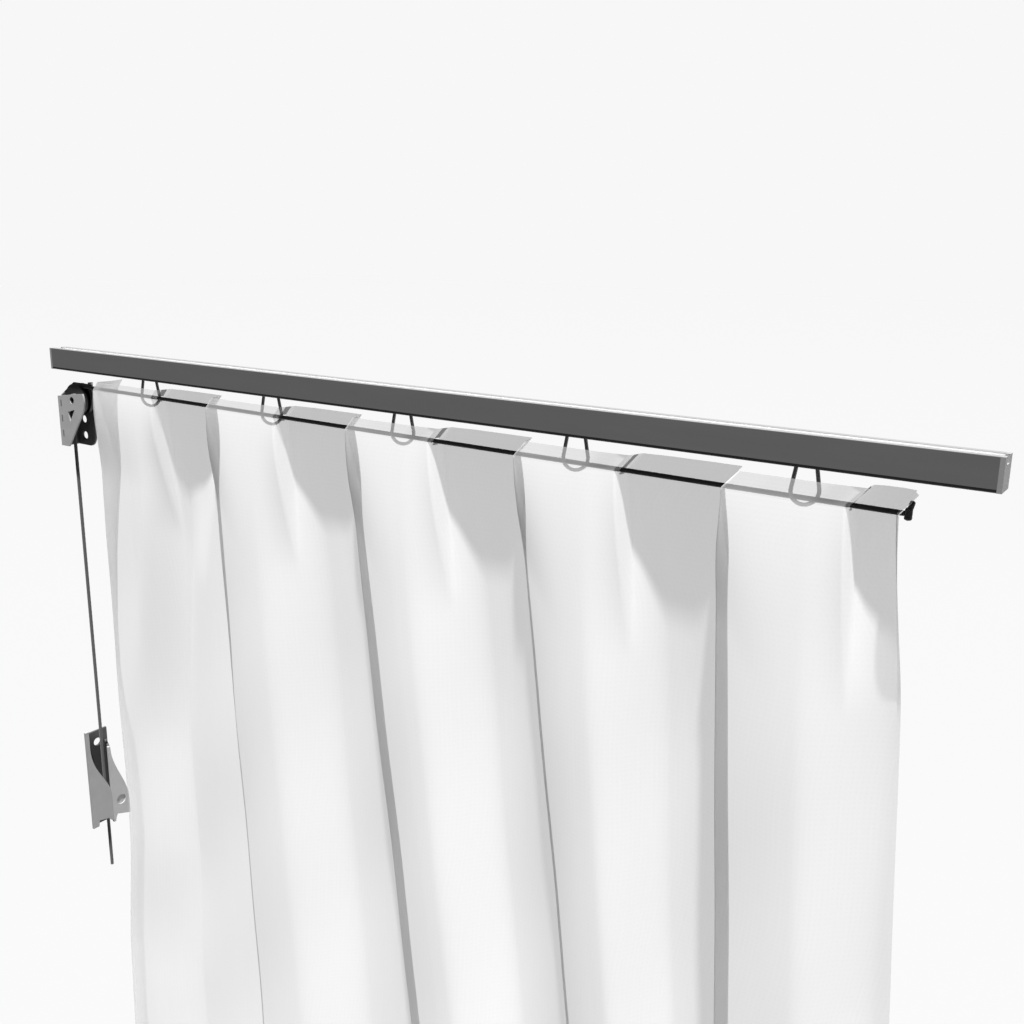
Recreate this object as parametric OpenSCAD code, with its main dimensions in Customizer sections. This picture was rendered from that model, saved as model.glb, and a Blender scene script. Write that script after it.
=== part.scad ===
// Corded curtain track: ceiling rail, five loop runners, draw cord, pulley block, jam cleat and curtain.
// Millimetres. X runs along the rail, Y points back, Z points up. Z = 0 is the top of the rail.

/* [Rail] */
// Length of the aluminium section
rail_len = 1072; // [960:1:2000]
// Depth of the section, front to back
rail_d = 21.5; // [21:0.1:30]
// Height of the aluminium section
rail_h = 22.5; // [21:0.1:32]
// Side wall thickness
rail_wall = 1.4; // [1:0.1:1.6]
// Thickness of the two lips beside the top channel
lip_t = 1.5; // [1:0.1:2.5]
// Opening between the top lips
top_gap = 9; // [6:0.1:12]
// Width of the channel under the top lips
chan_w = 15; // [13:0.1:18]
// Height of the channel under the top lips
chan_h = 4.6; // [3:0.1:5]
// Thickness of the web between the two channels
web_t = 1.8; // [1.2:0.1:2]
// Thickness of the flanges that the rollers run on
flange_t = 1.6; // [1.2:0.1:2.5]
// Distance between the two ceiling screw holes
fix_pitch = 760; // [200:1:1000]
// Diameter of the ceiling screw holes
fix_d = 4.5; // [3:0.1:6]

/* [Slot liner and end caps] */
// Height of the black liner strip below the aluminium
liner_h = 2.5; // [1.5:0.1:4]
// Thickness of the liner's lip inside the slot
liner_lip = 0.7; // [0.4:0.1:1]
// Thickness of an end cap's plate
cap_t = 3.4; // [2:0.1:6]
// How far an end cap's plug reaches into the rail
plug_len = 12; // [6:0.5:30]
// Play all round an end cap's plug
plug_gap = 0.1; // [0.05:0.01:0.25]

/* [Runners] */
// Length of a runner's body along the rail
runner_len = 19; // [18:0.5:30]
// Width of the runner's foot in the slot
runner_w = 11.4; // [10.8:0.1:12]
// Side play of the runner's foot in the lined slot, each side
slot_gap = 0.4; // [0.3:0.05:0.8]
// Height of the runner's foot
foot_h = 7; // [6:0.1:8]
// Distance from the liner's underside up to the runner's foot
foot_up = 0.6; // [0.2:0.1:1.5]
// Diameter of a roller
roller_d = 10; // [8:0.1:10.4]
// Play under a roller
roller_gap = 0.05; // [0.02:0.01:0.2]
// Side play of a roller, each side
roller_play = 0.3; // [0.2:0.05:0.4]
// Diameter of a roller axle
axle_d = 3; // [2:0.1:4]
// Running clearance round an axle or pin
run_gap = 0.05; // [0.02:0.01:0.1]

/* [Loops] */
// Wire diameter of a loop
wire_d = 3.2; // [2:0.1:3.6]
// Radius of the loop's round end, to the wire's centre
loop_r = 10.5; // [10:0.1:14]
// How far a loop hangs below the liner
loop_drop = 31.5; // [31:0.5:45]
// Half the distance between the tops of the loop's legs
leg_half = 6.6; // [5.5:0.1:6.8]
// How far a leg goes into the runner's foot
leg_in = 5; // [3:0.1:5.5]
// Turn of the loop about the vertical, so that the cord threads it
loop_turn = 28; // [27:0.5:32]
// Play of a leg in its socket
leg_gap = 0.02; // [0:0.01:0.1]

/* [Cord] */
// Diameter of the draw cord
cord_d = 4.2; // [3:0.1:4.4]
// Play between the cord and what guides it
cord_gap = 0.25; // [0.15:0.05:0.4]
// Depth of the cord's centre below the rail's top at the pulley
cord_high = 44; // [42:0.1:46]
// Depth of the cord's centre below the rail's top at the end knot
cord_low = 50.2; // [46:0.1:50.4]
// Length of the cord's bare end below the cleat
tail_len = 68; // [40:1:200]
// Diameter of the wrap in the end knot
knot_d = 5.8; // [5:0.1:9]
// Height of the wrap in the end knot
knot_h = 9.6; // [8:0.1:16]
// Length of the short cord end that leaves the knot
knot_end = 7; // [6:0.5:20]

/* [Pulley block] */
// Distance from the rail's left end to the cord's vertical run
drop_in = 16.5; // [14:0.5:40]
// Radius at which the cord runs on the sheave
sheave_r = 16.5; // [12:0.1:18]
// Height of the sheave's rim above the cord's centre
rim_h = 3; // [2.5:0.1:4]
// Thickness of the sheave
sheave_t = 12; // [8:0.1:14]
// Thickness of the block's plates
plate_t = 2; // [1.5:0.1:3]
// Clear distance between the two plates
plate_gap = 17.4; // [16:0.1:24]
// End play of the sheave between its two washers, in all
end_play = 0.2; // [0.1:0.05:0.4]
// Diameter of the sheave pin
pin_d = 8; // [5:0.1:10]
// Diameter of the sheave's two washers
washer_d = 16; // [13:0.5:20]
// Distance from the cord's vertical run to the block's side wall
side_in = 5; // [4:0.1:7]
// How far the front plate reaches to the left of the side wall
front_left = 5; // [4:0.5:9]
// Radius of the front plate round the sheave pin
front_r = 24; // [20.5:0.5:26]
// Height of the sheave pin's centre above the bottom of the plates
block_low = 58; // [52:0.5:70]
// Width of the front plate at its bottom
front_foot = 15; // [10:0.5:22]
// Height of the front plate's top edge above the sheave pin's centre
front_top = 8; // [6:0.5:11]
// Height of the back plate's top edge above the sheave pin's centre
back_top = 18; // [16:0.5:22]
// How far the back plate reaches to the right of the sheave pin
back_right = 13; // [12:0.5:24]
// Corner radius at the back plate's lower right
back_round = 12; // [8:0.5:14]
// Diameter of the two screw holes in the back plate
block_hole_d = 9; // [6:0.1:10]
// Distance between the two screw holes in the back plate
block_pitch = 20; // [14:0.5:26]
// Height of the lower screw hole above the bottom of the plates
block_hole_up = 12; // [8:0.5:16]
// Distance of the screw holes from the back plate's right edge
block_hole_in = 21; // [17:0.5:22]
// Height of a tab that joins the side wall to the front plate
tab_h = 8; // [4:0.5:12]
// Play round a tab
tab_gap = 0.05; // [0.02:0.01:0.2]

/* [Jam cleat] */
// Depth of the cleat's top below the rail's top
cleat_top = 494; // [300:1:700]
// Height of the cleat
cleat_h = 138; // [120:1:200]
// Depth of the cleat, base to front
cleat_d = 27; // [24:0.5:40]
// Thickness of the cleat's walls
cleat_wall = 3; // [2:0.1:4]
// Distance from the cord to the front edge of the slanted left wall
cleat_left = 27; // [20:0.5:36]
// Distance from the cord to the front edge of the slanted right wall
cleat_right = 7; // [6.5:0.1:10]
// Distance from the cord to the base's left edge
base_left = 10; // [8:0.5:16]
// Distance from the cord to the base's right edge
base_right = 20; // [14:0.5:30]
// Depth of the base's top below the cleat's top
base_down = 15; // [5:0.5:18]
// Depth of the right wall's top below the cleat's top
wall_down = 32; // [28:0.5:60]
// Width of the cheek's strip beside the mouth
cheek_strip = 5; // [4:0.5:9]
// Depth of the mouth's straight upper part
mouth_top = 20; // [10:1:30]
// Height of the curved part of the mouth
mouth_h = 79; // [50:1:90]
// Height of the two gripping jaws
jaw_h = 34; // [20:1:38]
// Half angle of the gap between the jaws
jaw_angle = 12; // [6:0.5:15]
// How far the wing reaches beyond the right wall
wing_w = 23; // [12:0.5:32]
// Height of the wing
wing_h = 102; // [70:1:110]
// Diameter of the two screw holes in the cleat's base
cleat_hole_d = 11; // [6:0.1:12]
// Distance between the two screw holes in the cleat's base
cleat_pitch = 64; // [40:0.5:66]
// Depth of the upper screw hole below the cleat's top
cleat_hole_down = 31; // [26:0.5:32]

/* [Curtain] */
// Depth of the curtain's top edge below the rail's top
cloth_top = 34; // [30:0.5:36]
// Depth of the curtain's lower edge below the rail's top
cloth_low = 1000; // [500:1:1040]
// Thickness of the cloth's solid
cloth_t = 1.2; // [0.8:0.1:2]
// Distance of the folds from the cord at the heading
fold_top = 10; // [9.5:0.1:12]
// Depth of the folds lower down
fold_low = 25; // [15:0.5:35]
// Radius of the buttonholes that the cord passes through
hole_r = 2.4; // [2.3:0.05:3]

/* [Hidden] */
$fn = 48;
over = 1;

// where the runners stand and where the cloth crosses the cord, as shares of half the rail's length
rail_end = rail_len / 2;
runner_x = rail_end * [-0.68284, -0.3153, 0.01679, 0.375, 0.75];
cloth_left = rail_end * -0.8582;
cross_x = rail_end * [-0.653, -0.4925, -0.2873, -0.1119, 0.0896, 0.2612, 0.459, 0.6269, 0.8172, 0.8769];
cloth_right = rail_end * 0.8843;

// rail heights
total_h = rail_h + liner_h;
chan_low = lip_t + chan_h;
hollow_top = chan_low + web_t;
flange_top = rail_h - flange_t;
hollow_w = rail_d - 2 * rail_wall;
lined_w = runner_w + 2 * slot_gap;
slot_w = lined_w + 2 * liner_lip;

// runner places
roller_out = hollow_w / 2 - roller_play;
hub_w = slot_w - 0.2;
roller_in = hub_w / 2 + roller_play;
roller_z = -flange_top + roller_gap + roller_d / 2;
foot_low = -total_h + foot_up;
hub_r = axle_d / 2 + 2.7;

// loop places, in the loop's own upright plane
loop_z = -total_h - loop_drop + wire_d / 2 + loop_r;
leg_top = foot_low + leg_in;
leg_far = sqrt(pow(leg_half, 2) + pow(leg_top - loop_z, 2));
leg_at = atan2(leg_top - loop_z, leg_half) - acos(loop_r / leg_far);
leg_len = sqrt(pow(leg_far, 2) - pow(loop_r, 2));
// lean of the knot's short end
knot_lean = 14;
// the weld bead where a leg meets the round end stands this much proud
weld = 0.1;

// cord places
drop_x = -rail_end + drop_in;
sheave_x = drop_x + sheave_r;
sheave_z = -cord_high - sheave_r;
knot_x = cloth_right + cloth_t + cord_gap + knot_d / 2;
run_len = knot_x - knot_d / 2 - sheave_x;
run_fall = cord_low - cord_high;
run_turn = atan2(run_fall, run_len);
function cord_z(x) = -cord_high - run_fall * (x - sheave_x) / run_len;

// pulley block places
front_y = -plate_gap / 2;
back_y = plate_gap / 2;
block_z = sheave_z - block_low;
side_x = drop_x - side_in;
front_x = side_x - plate_t - front_left;
washer_t = (plate_gap - sheave_t - end_play) / 2;
block_hole_x = sheave_x + back_right - block_hole_in;
tab_at = [0.84, 0.52, 0.2];
// corners of the front plate's window, as shares of its radius
window_at = [[-0.42, -0.625], [0.17, -0.46], [-0.29, -1.125]];

// cleat places
wall_x = -rail_end - cap_t;
cleat_x = wall_x + cleat_d;
cleat_low = cleat_top + cleat_h;
jaw_low = cleat_low - 3;
slant = (cleat_left - base_left) / cleat_d;
slant_t = cleat_wall * sqrt(1 + pow(slant, 2));
function slant_y(x) = -base_left - slant * (x - wall_x);
right_slant = (base_right - cleat_right) / cleat_d;
right_t = cleat_wall * sqrt(1 + pow(right_slant, 2));
function right_y(x) = base_right - right_slant * (x - wall_x);
// corners of the notch in the cheek's lower edge, as shares of cleat_left
notch_at = [[-0.69, -0.05], [-0.64, 0.3], [-0.1, 0.19], [0.09, -0.05]];
// heights on the wing: where its curved edge ends, and the recess's centre
wing_foot = 0.21 * wing_h;
wing_dish = 0.24 * wing_h;

module along_x(a, b) {
    translate([a, 0, 0]) rotate([90, 0, 90]) linear_extrude(b - a) children();
}

module along_y(a, b) {
    translate([0, b, 0]) rotate([90, 0, 0]) linear_extrude(b - a) children();
}

module box(x0, x1, y0, y1, z0, z1) {
    translate([x0, y0, z0]) cube([x1 - x0, y1 - y0, z1 - z0]);
}

module band(w, z0, z1) {
    translate([-w / 2, z0]) square([w, z1 - z0]);
}

// Rail
module rail() {
    color("dimgray") difference() {
        along_x(-rail_end, rail_end) difference() {
            band(rail_d, -rail_h, 0);
            band(top_gap, -chan_low, over);
            band(chan_w, -chan_low, -lip_t);
            band(hollow_w, -flange_top, -hollow_top);
            band(slot_w, -rail_h - over, -hollow_top);
        }
        for (s = [-1, 1])
            translate([s * fix_pitch / 2, 0, -hollow_top - over])
                cylinder(d = fix_d, h = web_t + 2 * over);
    }
}

module liner(s) {
    color("black") along_x(-rail_end, rail_end) scale([s, 1]) polygon([
        [lined_w / 2, -total_h + 0.6], [lined_w / 2 + 0.6, -total_h],
        [rail_d / 2 - 0.8, -total_h], [rail_d / 2, -total_h + 0.8],
        [rail_d / 2, -rail_h], [slot_w / 2, -rail_h],
        [slot_w / 2, -flange_top], [lined_w / 2, -flange_top]]);
}

module cap(s) {
    x = s * rail_end;
    color("gray") {
        along_x(min(x, x + s * cap_t), max(x, x + s * cap_t)) difference() {
            band(rail_d, -total_h, 0);
            band(top_gap, -chan_low, over);
        }
        along_x(min(x, x - s * plug_len), max(x, x - s * plug_len))
            band(hollow_w - 2 * plug_gap, -flange_top + plug_gap, -hollow_top - plug_gap);
    }
}

// Runners
module loop_leg(s, extra) {
    rotate([0, 0, 90 - s * 90]) rotate([0, -leg_at, 0]) translate([loop_r, 0, 0]) {
        sphere(d = wire_d + 2 * extra + weld, $fn = 32);
        translate([0, 0, weld]) cylinder(d = wire_d + 2 * extra, h = leg_len - weld);
    }
}

module loop_shape(i, extra) {
    translate([runner_x[i - 1], 0, loop_z]) rotate([0, 0, loop_turn]) {
        for (s = [-1, 1]) loop_leg(s, extra);
        rotate([90, 0, 0]) rotate([0, 0, 180 - leg_at])
            rotate_extrude(angle = 180 + 2 * leg_at, $fn = 96)
                translate([loop_r, 0]) circle(d = wire_d + 2 * extra, $fn = 32);
    }
}

module runner(i) {
    color("whitesmoke") difference() {
        translate([runner_x[i - 1], 0, 0]) difference() {
            union() {
                box(-runner_len / 2, runner_len / 2, -runner_w / 2, runner_w / 2,
                    foot_low, foot_low + foot_h);
                box(-hub_r, hub_r, -hub_w / 2, hub_w / 2, -flange_top + slot_gap, roller_z);
                translate([0, hub_w / 2, roller_z]) rotate([90, 0, 0])
                    cylinder(r = hub_r, h = hub_w);
            }
            translate([0, hub_w, roller_z]) rotate([90, 0, 0])
                cylinder(d = axle_d + 2 * run_gap, h = 2 * hub_w);
        }
        loop_shape(i, leg_gap);
    }
}

module loop(i) {
    color("slategray") loop_shape(i, 0);
}

module axle(i) {
    color("silver") translate([runner_x[i - 1], roller_out, roller_z])
        rotate([90, 0, 0]) cylinder(d = axle_d, h = 2 * roller_out);
}

module rollers(i) {
    color("gainsboro") for (s = [0, 180])
        translate([runner_x[i - 1], 0, roller_z]) rotate([0, 0, s])
            translate([0, roller_out, 0]) rotate([90, 0, 0]) difference() {
                cylinder(d = roller_d, h = roller_out - roller_in);
                translate([0, 0, -over])
                    cylinder(d = axle_d, h = roller_out - roller_in + 2 * over);
            }
}

// Pulley block
module foot_to_round(foot, r) {
    far = sqrt(pow(foot[0], 2) + pow(foot[1], 2));
    at = atan2(foot[1], foot[0]) + acos(r / far);
    polygon([[0, 0], foot, [r * cos(at), r * sin(at)]]);
}

module front_outline() {
    left = front_x - sheave_x;
    difference() {
        union() {
            circle(r = front_r, $fn = 96);
            foot_to_round([left + front_foot, -block_low], front_r);
            polygon([[left, front_top], [left, -block_low],
                [left + front_foot, -block_low], [0, 0], [0, front_top]]);
        }
        polygon([[left - over, front_top - 5], [front_r + over, front_top + 2],
            [front_r + over, front_r + over], [left - over, front_r + over]]);
        translate([left - front_r - over, -block_low - over])
            square([front_r + over, block_low + 2 * front_r]);
        circle(d = pin_d + 2 * tab_gap);
        polygon(front_r * window_at);
        for (t = tab_at)
            translate([side_x - sheave_x - plate_t - tab_gap, -block_low * (1 - t) - tab_gap])
                square([plate_t + 2 * tab_gap, tab_h + 2 * tab_gap]);
    }
}

module block_front() {
    color("darkgray") translate([sheave_x, 0, sheave_z])
        along_y(front_y - plate_t, front_y) front_outline();
}

module back_outline() {
    left = side_x - plate_t - sheave_x;
    difference() {
        union() {
            polygon([[left, back_top], [left, -block_low],
                [back_right - back_round, -block_low],
                [back_right, -block_low + back_round], [back_right, back_top]]);
            translate([back_right - back_round, -block_low + back_round])
                circle(r = back_round);
        }
        circle(d = pin_d + 2 * tab_gap);
    }
}

module block_back() {
    color("dimgray") difference() {
        union() {
            translate([sheave_x, 0, sheave_z])
                along_y(back_y, back_y + plate_t) back_outline();
            along_x(side_x - plate_t, side_x) polygon([
                [front_y, block_z], [back_y, block_z],
                [back_y, sheave_z + back_top], [front_y, sheave_z + front_top - 3]]);
            for (t = tab_at)
                box(side_x - plate_t, side_x, front_y - plate_t, front_y,
                    sheave_z - block_low * (1 - t), sheave_z - block_low * (1 - t) + tab_h);
        }
        for (k = [0, 1])
            translate([block_hole_x, back_y - over, block_z + block_hole_up + k * block_pitch])
                rotate([-90, 0, 0]) {
                    cylinder(d = block_hole_d, h = plate_t + 2 * over);
                    cylinder(d1 = block_hole_d + 2 * over + 2, d2 = block_hole_d, h = over + 1);
                }
    }
}

module block_pin() {
    color("silver") translate([sheave_x, back_y + plate_t, sheave_z]) rotate([90, 0, 0])
        difference() {
            cylinder(d = pin_d, h = plate_gap + 2 * plate_t - 0.6);
            translate([0, 0, plate_gap + plate_t])
                cylinder(d = pin_d / 2, h = plate_t, $fn = 6);
        }
}

module block_washers() {
    color("lightgray") for (y = [front_y + washer_t, back_y])
        translate([sheave_x, y, sheave_z]) rotate([90, 0, 0]) difference() {
            cylinder(d = washer_d, h = washer_t);
            translate([0, 0, -over])
                cylinder(d = pin_d + 2 * run_gap, h = washer_t + 2 * over);
        }
}

module block_eyelet() {
    color("gray") translate([sheave_x + back_right - 3, back_y + plate_t / 2, sheave_z + back_top])
        difference() {
            cylinder(r = 3, h = 2.4);
            translate([0, 0, -over]) cylinder(r = 1.6, h = 2.4 + 2 * over);
        }
}

module sheave() {
    groove = cord_d / 2 + cord_gap;
    color("black") translate([sheave_x, 0, sheave_z]) rotate([90, 0, 0])
        rotate_extrude($fn = 96) difference() {
            translate([pin_d / 2 + run_gap, -sheave_t / 2])
                square([sheave_r + rim_h - pin_d / 2 - run_gap, sheave_t]);
            translate([sheave_r, 0]) circle(r = groove);
            translate([sheave_r, -groove]) square([rim_h + over, 2 * groove]);
        }
}

// Jam cleat
module cleat_body() {
    x1 = cleat_x - cleat_wall;
    base_top = -cleat_top - base_down;
    color("gray") difference() {
        union() {
            box(wall_x, wall_x + cleat_wall, -base_left, base_right, -cleat_low, base_top);
            translate([0, 0, -cleat_low]) linear_extrude(base_top + cleat_low) polygon([
                [wall_x, -base_left], [x1, slant_y(x1)],
                [x1, slant_y(x1) + slant_t], [wall_x, -base_left + slant_t]]);
            translate([0, 0, -cleat_low]) linear_extrude(cleat_h - wall_down) polygon([
                [wall_x, base_right - right_t], [x1, right_y(x1) - right_t],
                [x1, right_y(x1)], [wall_x, base_right]]);
        }
        for (k = [0, 1])
            translate([wall_x - over, (base_right - base_left) / 2,
                -cleat_top - cleat_hole_down - k * cleat_pitch])
                rotate([0, 90, 0]) cylinder(d = cleat_hole_d, h = cleat_wall + 2 * over);
    }
}

function ease(t) = t * t * (3 - 2 * t);

module cleat_cheek() {
    y0 = -cleat_left;
    y1 = cleat_right - cleat_wall - cord_gap;
    z1 = -cleat_top - mouth_top;
    edge = [for (k = [0:14])
        [y0 + cheek_strip + (y1 - y0 - cheek_strip) * ease(pow(k / 14, 1.35)), z1 - mouth_h * k / 14]];
    color("darkgray") along_x(cleat_x - cleat_wall, cleat_x) difference() {
        polygon(concat([[y0, -cleat_low], [y0, -cleat_top], [y0 + cheek_strip, -cleat_top]],
            edge, [[y1, -cleat_low]]));
        translate([0, -cleat_low]) polygon(cleat_left * notch_at);
    }
}

module cleat_jaws() {
    x0 = wall_x + cleat_wall;
    x1 = cleat_x - cleat_wall;
    near = (cord_d / 2 + cord_gap) / cos(jaw_angle);
    function half(x) = max(0.4, near + (x - drop_x) * tan(jaw_angle));
    right_in = right_y(x0) - right_t;
    right_out = right_y(drop_x + cord_d / 2) - right_t;
    stop = drop_x - cord_d;
    color("black") translate([0, 0, -jaw_low]) linear_extrude(jaw_h) {
        polygon([[x0, slant_y(x0) + slant_t], [x1, slant_y(x1) + slant_t],
            [x1, -half(x1)], [stop, -half(stop)], [x0, -half(stop)]]);
        polygon([[x0, half(stop)], [stop, half(stop)], [drop_x + cord_d / 2, half(drop_x + cord_d / 2)],
            [drop_x + cord_d / 2, right_out], [x0, right_in]]);
    }
}

module cleat_wing() {
    y0 = cleat_right - cleat_wall;
    y1 = cleat_right;
    z0 = -cleat_low;
    edge = [for (k = [0:14])
        [y1 + 0.5 + (wing_w - 0.5) * ease(k / 14), z0 + wing_h - (wing_h - wing_foot) * k / 14]];
    color("lightgray") difference() {
        along_x(cleat_x - cleat_wall, cleat_x) polygon(concat(
            [[y0, z0 + wing_h + 4], [y1, z0 + wing_h + 4]], edge,
            [[y1 + wing_w, z0 - 1], [y1 + 3.5, z0 + 5.5], [y1 + 1, z0 + 1], [y1, z0 - 4], [y0, z0 - 4]]));
        translate([cleat_x - 1, y1 + wing_w * 0.46, z0 + wing_dish]) rotate([0, 90, 0])
            cylinder(d = wing_w / 1.7, h = 2);
    }
}

// Cord
module run_rod(r, a, b) {
    translate([sheave_x, 0, -cord_high]) rotate([0, 90 + run_turn, 0])
        translate([0, 0, a]) cylinder(r = r, h = b - a, $fn = 32);
}

module cord_run() {
    color("black") run_rod(cord_d / 2, 0.05, run_len / cos(run_turn));
}

module cord_drop() {
    color("black") {
        translate([sheave_x, 0, sheave_z]) rotate([90, 0, 0]) rotate([0, 0, 90])
            rotate_extrude(angle = 90, $fn = 96)
                translate([sheave_r, 0]) circle(d = cord_d, $fn = 32);
        translate([drop_x, 0, -cleat_low]) cylinder(d = cord_d, h = cleat_low + sheave_z, $fn = 32);
    }
}

module cord_tail() {
    color("black") translate([drop_x, 0, -cleat_low - tail_len])
        cylinder(d = cord_d, h = tail_len - 0.05, $fn = 32);
}

module end_knot() {
    r = knot_d / 2;
    h = knot_h / 2;
    color("black") translate([knot_x + 0.05, 0, -cord_low]) {
        rotate_extrude() polygon([[0, -h], [r - 1, -h], [r, 1 - h], [r, h - 1], [r - 1, h], [0, h]]);
        rotate([0, knot_lean, 20]) cylinder(d = cord_d, h = knot_end + r);
    }
}

// Curtain
// how far the heading leans to the right, as a share of its height above the cord
head_lean = 0.75;
panels = len(cross_x);
steps = [0, 0.07, 0.24, 0.5, 0.76, 0.93];
starts = concat([cloth_left], cross_x, [cloth_right]);
columns = panels * len(steps) + 1;
rows = 8;
function top_x(c) = c > panels * len(steps) ? cloth_right :
    let (p = floor(c / len(steps)), t = steps[c % len(steps)])
    starts[p] + (starts[p + 1] - starts[p]) * t;
function side(p) = p % 2 == 0 ? -1 : 1;
function flat_wave(c) = c > panels * len(steps) ? -0.6 :
    let (p = floor(c / len(steps)), k = c % len(steps))
    k == 0 ? (p == 0 ? -1 : 0) : side(p);
function soft_wave(c) = c > panels * len(steps) ? -0.15 :
    let (p = floor(c / len(steps)), t = steps[c % len(steps)], w = starts[p + 1] - starts[p])
    side(p) * min(1, w / 70) * sin(p == 0 ? 25 + 155 * t : 180 * t);
function row_z(x, r) =
    r == 0 ? -cloth_top :
    r == 1 ? cord_z(x) + hole_r + 1.6 :
    r == 2 ? cord_z(x) - hole_r - 2.6 :
    let (t = [0.03, 0.08, 0.16, 0.3, 0.6, 1][r - 3], z = cord_z(x) - hole_r - 2.6)
    z + (-cloth_low - z) * t;
function share(r) = [0, 0, 0.06, 0.3, 0.75, 1, 1, 1, 1][r];
function drift(x) = let (u = (x - cloth_left) / (cloth_right - cloth_left))
    -0.015 * (2 * u - 1) * (u - 1) + 0.119 * 4 * u * (1 - u) + 0.06 * u * (2 * u - 1);
function cloth_at(c, r) = let (x = top_x(c), z = row_z(x, r), d = cord_z(x) - z)
    [x + (d > 0 ? d * drift(x) : -head_lean * d),
     flat_wave(c) * fold_top * (1 - share(r)) + soft_wave(c) * fold_low * share(r), z];
function cloth_normal(c, r) = let (
    a = cloth_at(max(c - 1, 0), r), b = cloth_at(min(c + 1, columns), r),
    n = [a[1] - b[1], b[0] - a[0]]) n / norm(n);
function cloth_point(c, r, s) = let (p = cloth_at(c, r), n = cloth_normal(c, r))
    [p[0] + s * n[0] * cloth_t / 2, p[1] + s * n[1] * cloth_t / 2, p[2]];
wide = columns + 1;
function spot(c, r, s) = (s < 0 ? 0 : wide * (rows + 1)) + r * wide + c;
function pair(a, b, c, d) = [[a, b, c], [a, c, d]];

module cloth() {
    points = [for (s = [-1, 1]) for (r = [0:rows]) for (c = [0:columns]) cloth_point(c, r, s)];
    front = [for (r = [0:rows - 1]) for (c = [0:columns - 1])
        each pair(spot(c, r, -1), spot(c + 1, r, -1), spot(c + 1, r + 1, -1), spot(c, r + 1, -1))];
    back = [for (r = [0:rows - 1]) for (c = [0:columns - 1])
        each pair(spot(c, r, 1), spot(c, r + 1, 1), spot(c + 1, r + 1, 1), spot(c + 1, r, 1))];
    rims = [for (c = [0:columns - 1]) each concat(
        pair(spot(c, 0, -1), spot(c, 0, 1), spot(c + 1, 0, 1), spot(c + 1, 0, -1)),
        pair(spot(c, rows, -1), spot(c + 1, rows, -1), spot(c + 1, rows, 1), spot(c, rows, 1)))];
    ends = [for (r = [0:rows - 1]) each concat(
        pair(spot(0, r, -1), spot(0, r + 1, -1), spot(0, r + 1, 1), spot(0, r, 1)),
        pair(spot(columns, r, -1), spot(columns, r, 1), spot(columns, r + 1, 1), spot(columns, r + 1, -1)))];
    polyhedron(points = points, faces = concat(front, back, rims, ends), convexity = 30);
}

module curtain() {
    color("white") difference() {
        cloth();
        run_rod(hole_r, cloth_left - sheave_x - 20, run_len + 5);
    }
}

rail();
liner(-1);  // liner_front
liner(1);  // liner_back
cap(-1);  // cap_left
cap(1);  // cap_right
runner(1);  // runner_1
runner(2);  // runner_2
runner(3);  // runner_3
runner(4);  // runner_4
runner(5);  // runner_5
loop(1);  // loop_1
loop(2);  // loop_2
loop(3);  // loop_3
loop(4);  // loop_4
loop(5);  // loop_5
axle(1);  // axle_1
axle(2);  // axle_2
axle(3);  // axle_3
axle(4);  // axle_4
axle(5);  // axle_5
rollers(1);  // rollers_1
rollers(2);  // rollers_2
rollers(3);  // rollers_3
rollers(4);  // rollers_4
rollers(5);  // rollers_5
block_back();
block_front();
block_pin();
block_washers();
block_eyelet();
sheave();
cleat_body();
cleat_cheek();
cleat_jaws();
cleat_wing();
cord_run();
cord_drop();
cord_tail();
end_knot();
curtain();
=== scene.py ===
"""Looks of the corded curtain track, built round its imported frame. Metres, Z up, Z = 0 at the rail's top."""
import math

import bpy
import numpy as np
from mathutils import Matrix, Vector


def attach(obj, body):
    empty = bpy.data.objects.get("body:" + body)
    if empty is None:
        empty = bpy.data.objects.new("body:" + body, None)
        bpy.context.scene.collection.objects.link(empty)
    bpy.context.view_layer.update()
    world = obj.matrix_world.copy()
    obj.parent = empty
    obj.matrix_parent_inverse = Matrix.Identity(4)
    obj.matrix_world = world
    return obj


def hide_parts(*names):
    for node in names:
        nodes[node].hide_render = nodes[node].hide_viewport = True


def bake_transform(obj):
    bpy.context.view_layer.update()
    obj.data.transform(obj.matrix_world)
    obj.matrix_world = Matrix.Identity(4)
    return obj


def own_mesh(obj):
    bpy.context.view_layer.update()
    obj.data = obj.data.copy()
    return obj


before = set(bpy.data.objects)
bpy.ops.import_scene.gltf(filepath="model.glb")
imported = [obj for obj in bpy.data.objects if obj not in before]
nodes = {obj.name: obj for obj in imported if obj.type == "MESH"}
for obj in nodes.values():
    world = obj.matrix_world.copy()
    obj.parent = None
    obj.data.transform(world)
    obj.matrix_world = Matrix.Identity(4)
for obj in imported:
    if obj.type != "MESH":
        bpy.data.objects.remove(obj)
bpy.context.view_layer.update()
MM = 0.001

# Camera, at the photograph's place
CAMERA_AT = Vector((0.6688, -0.7736, 0.1364))
CAMERA_TURN = math.radians(34.555)
CAMERA_DOWN = math.radians(14.243)
CAMERA_ROLL = math.radians(0.782)
CAMERA_LENS = 37.97
SENSOR = 36.0
CLIP_NEAR = 0.01
CLIP_FAR = 200.0

# Stage and light
FLOOR_Z = -1.42
FLOOR_HALF = 30.0
FLOOR_FRONT = -0.4
FLOOR_GREY = 0.315
SUN_FROM = Vector((0.13, -0.21, 1.0))
SUN_POWER = 9.1
SUN_SOFT = math.radians(2.0)
SKY_SEEN = 0.93
SKY_LIGHT = 0.14

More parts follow.
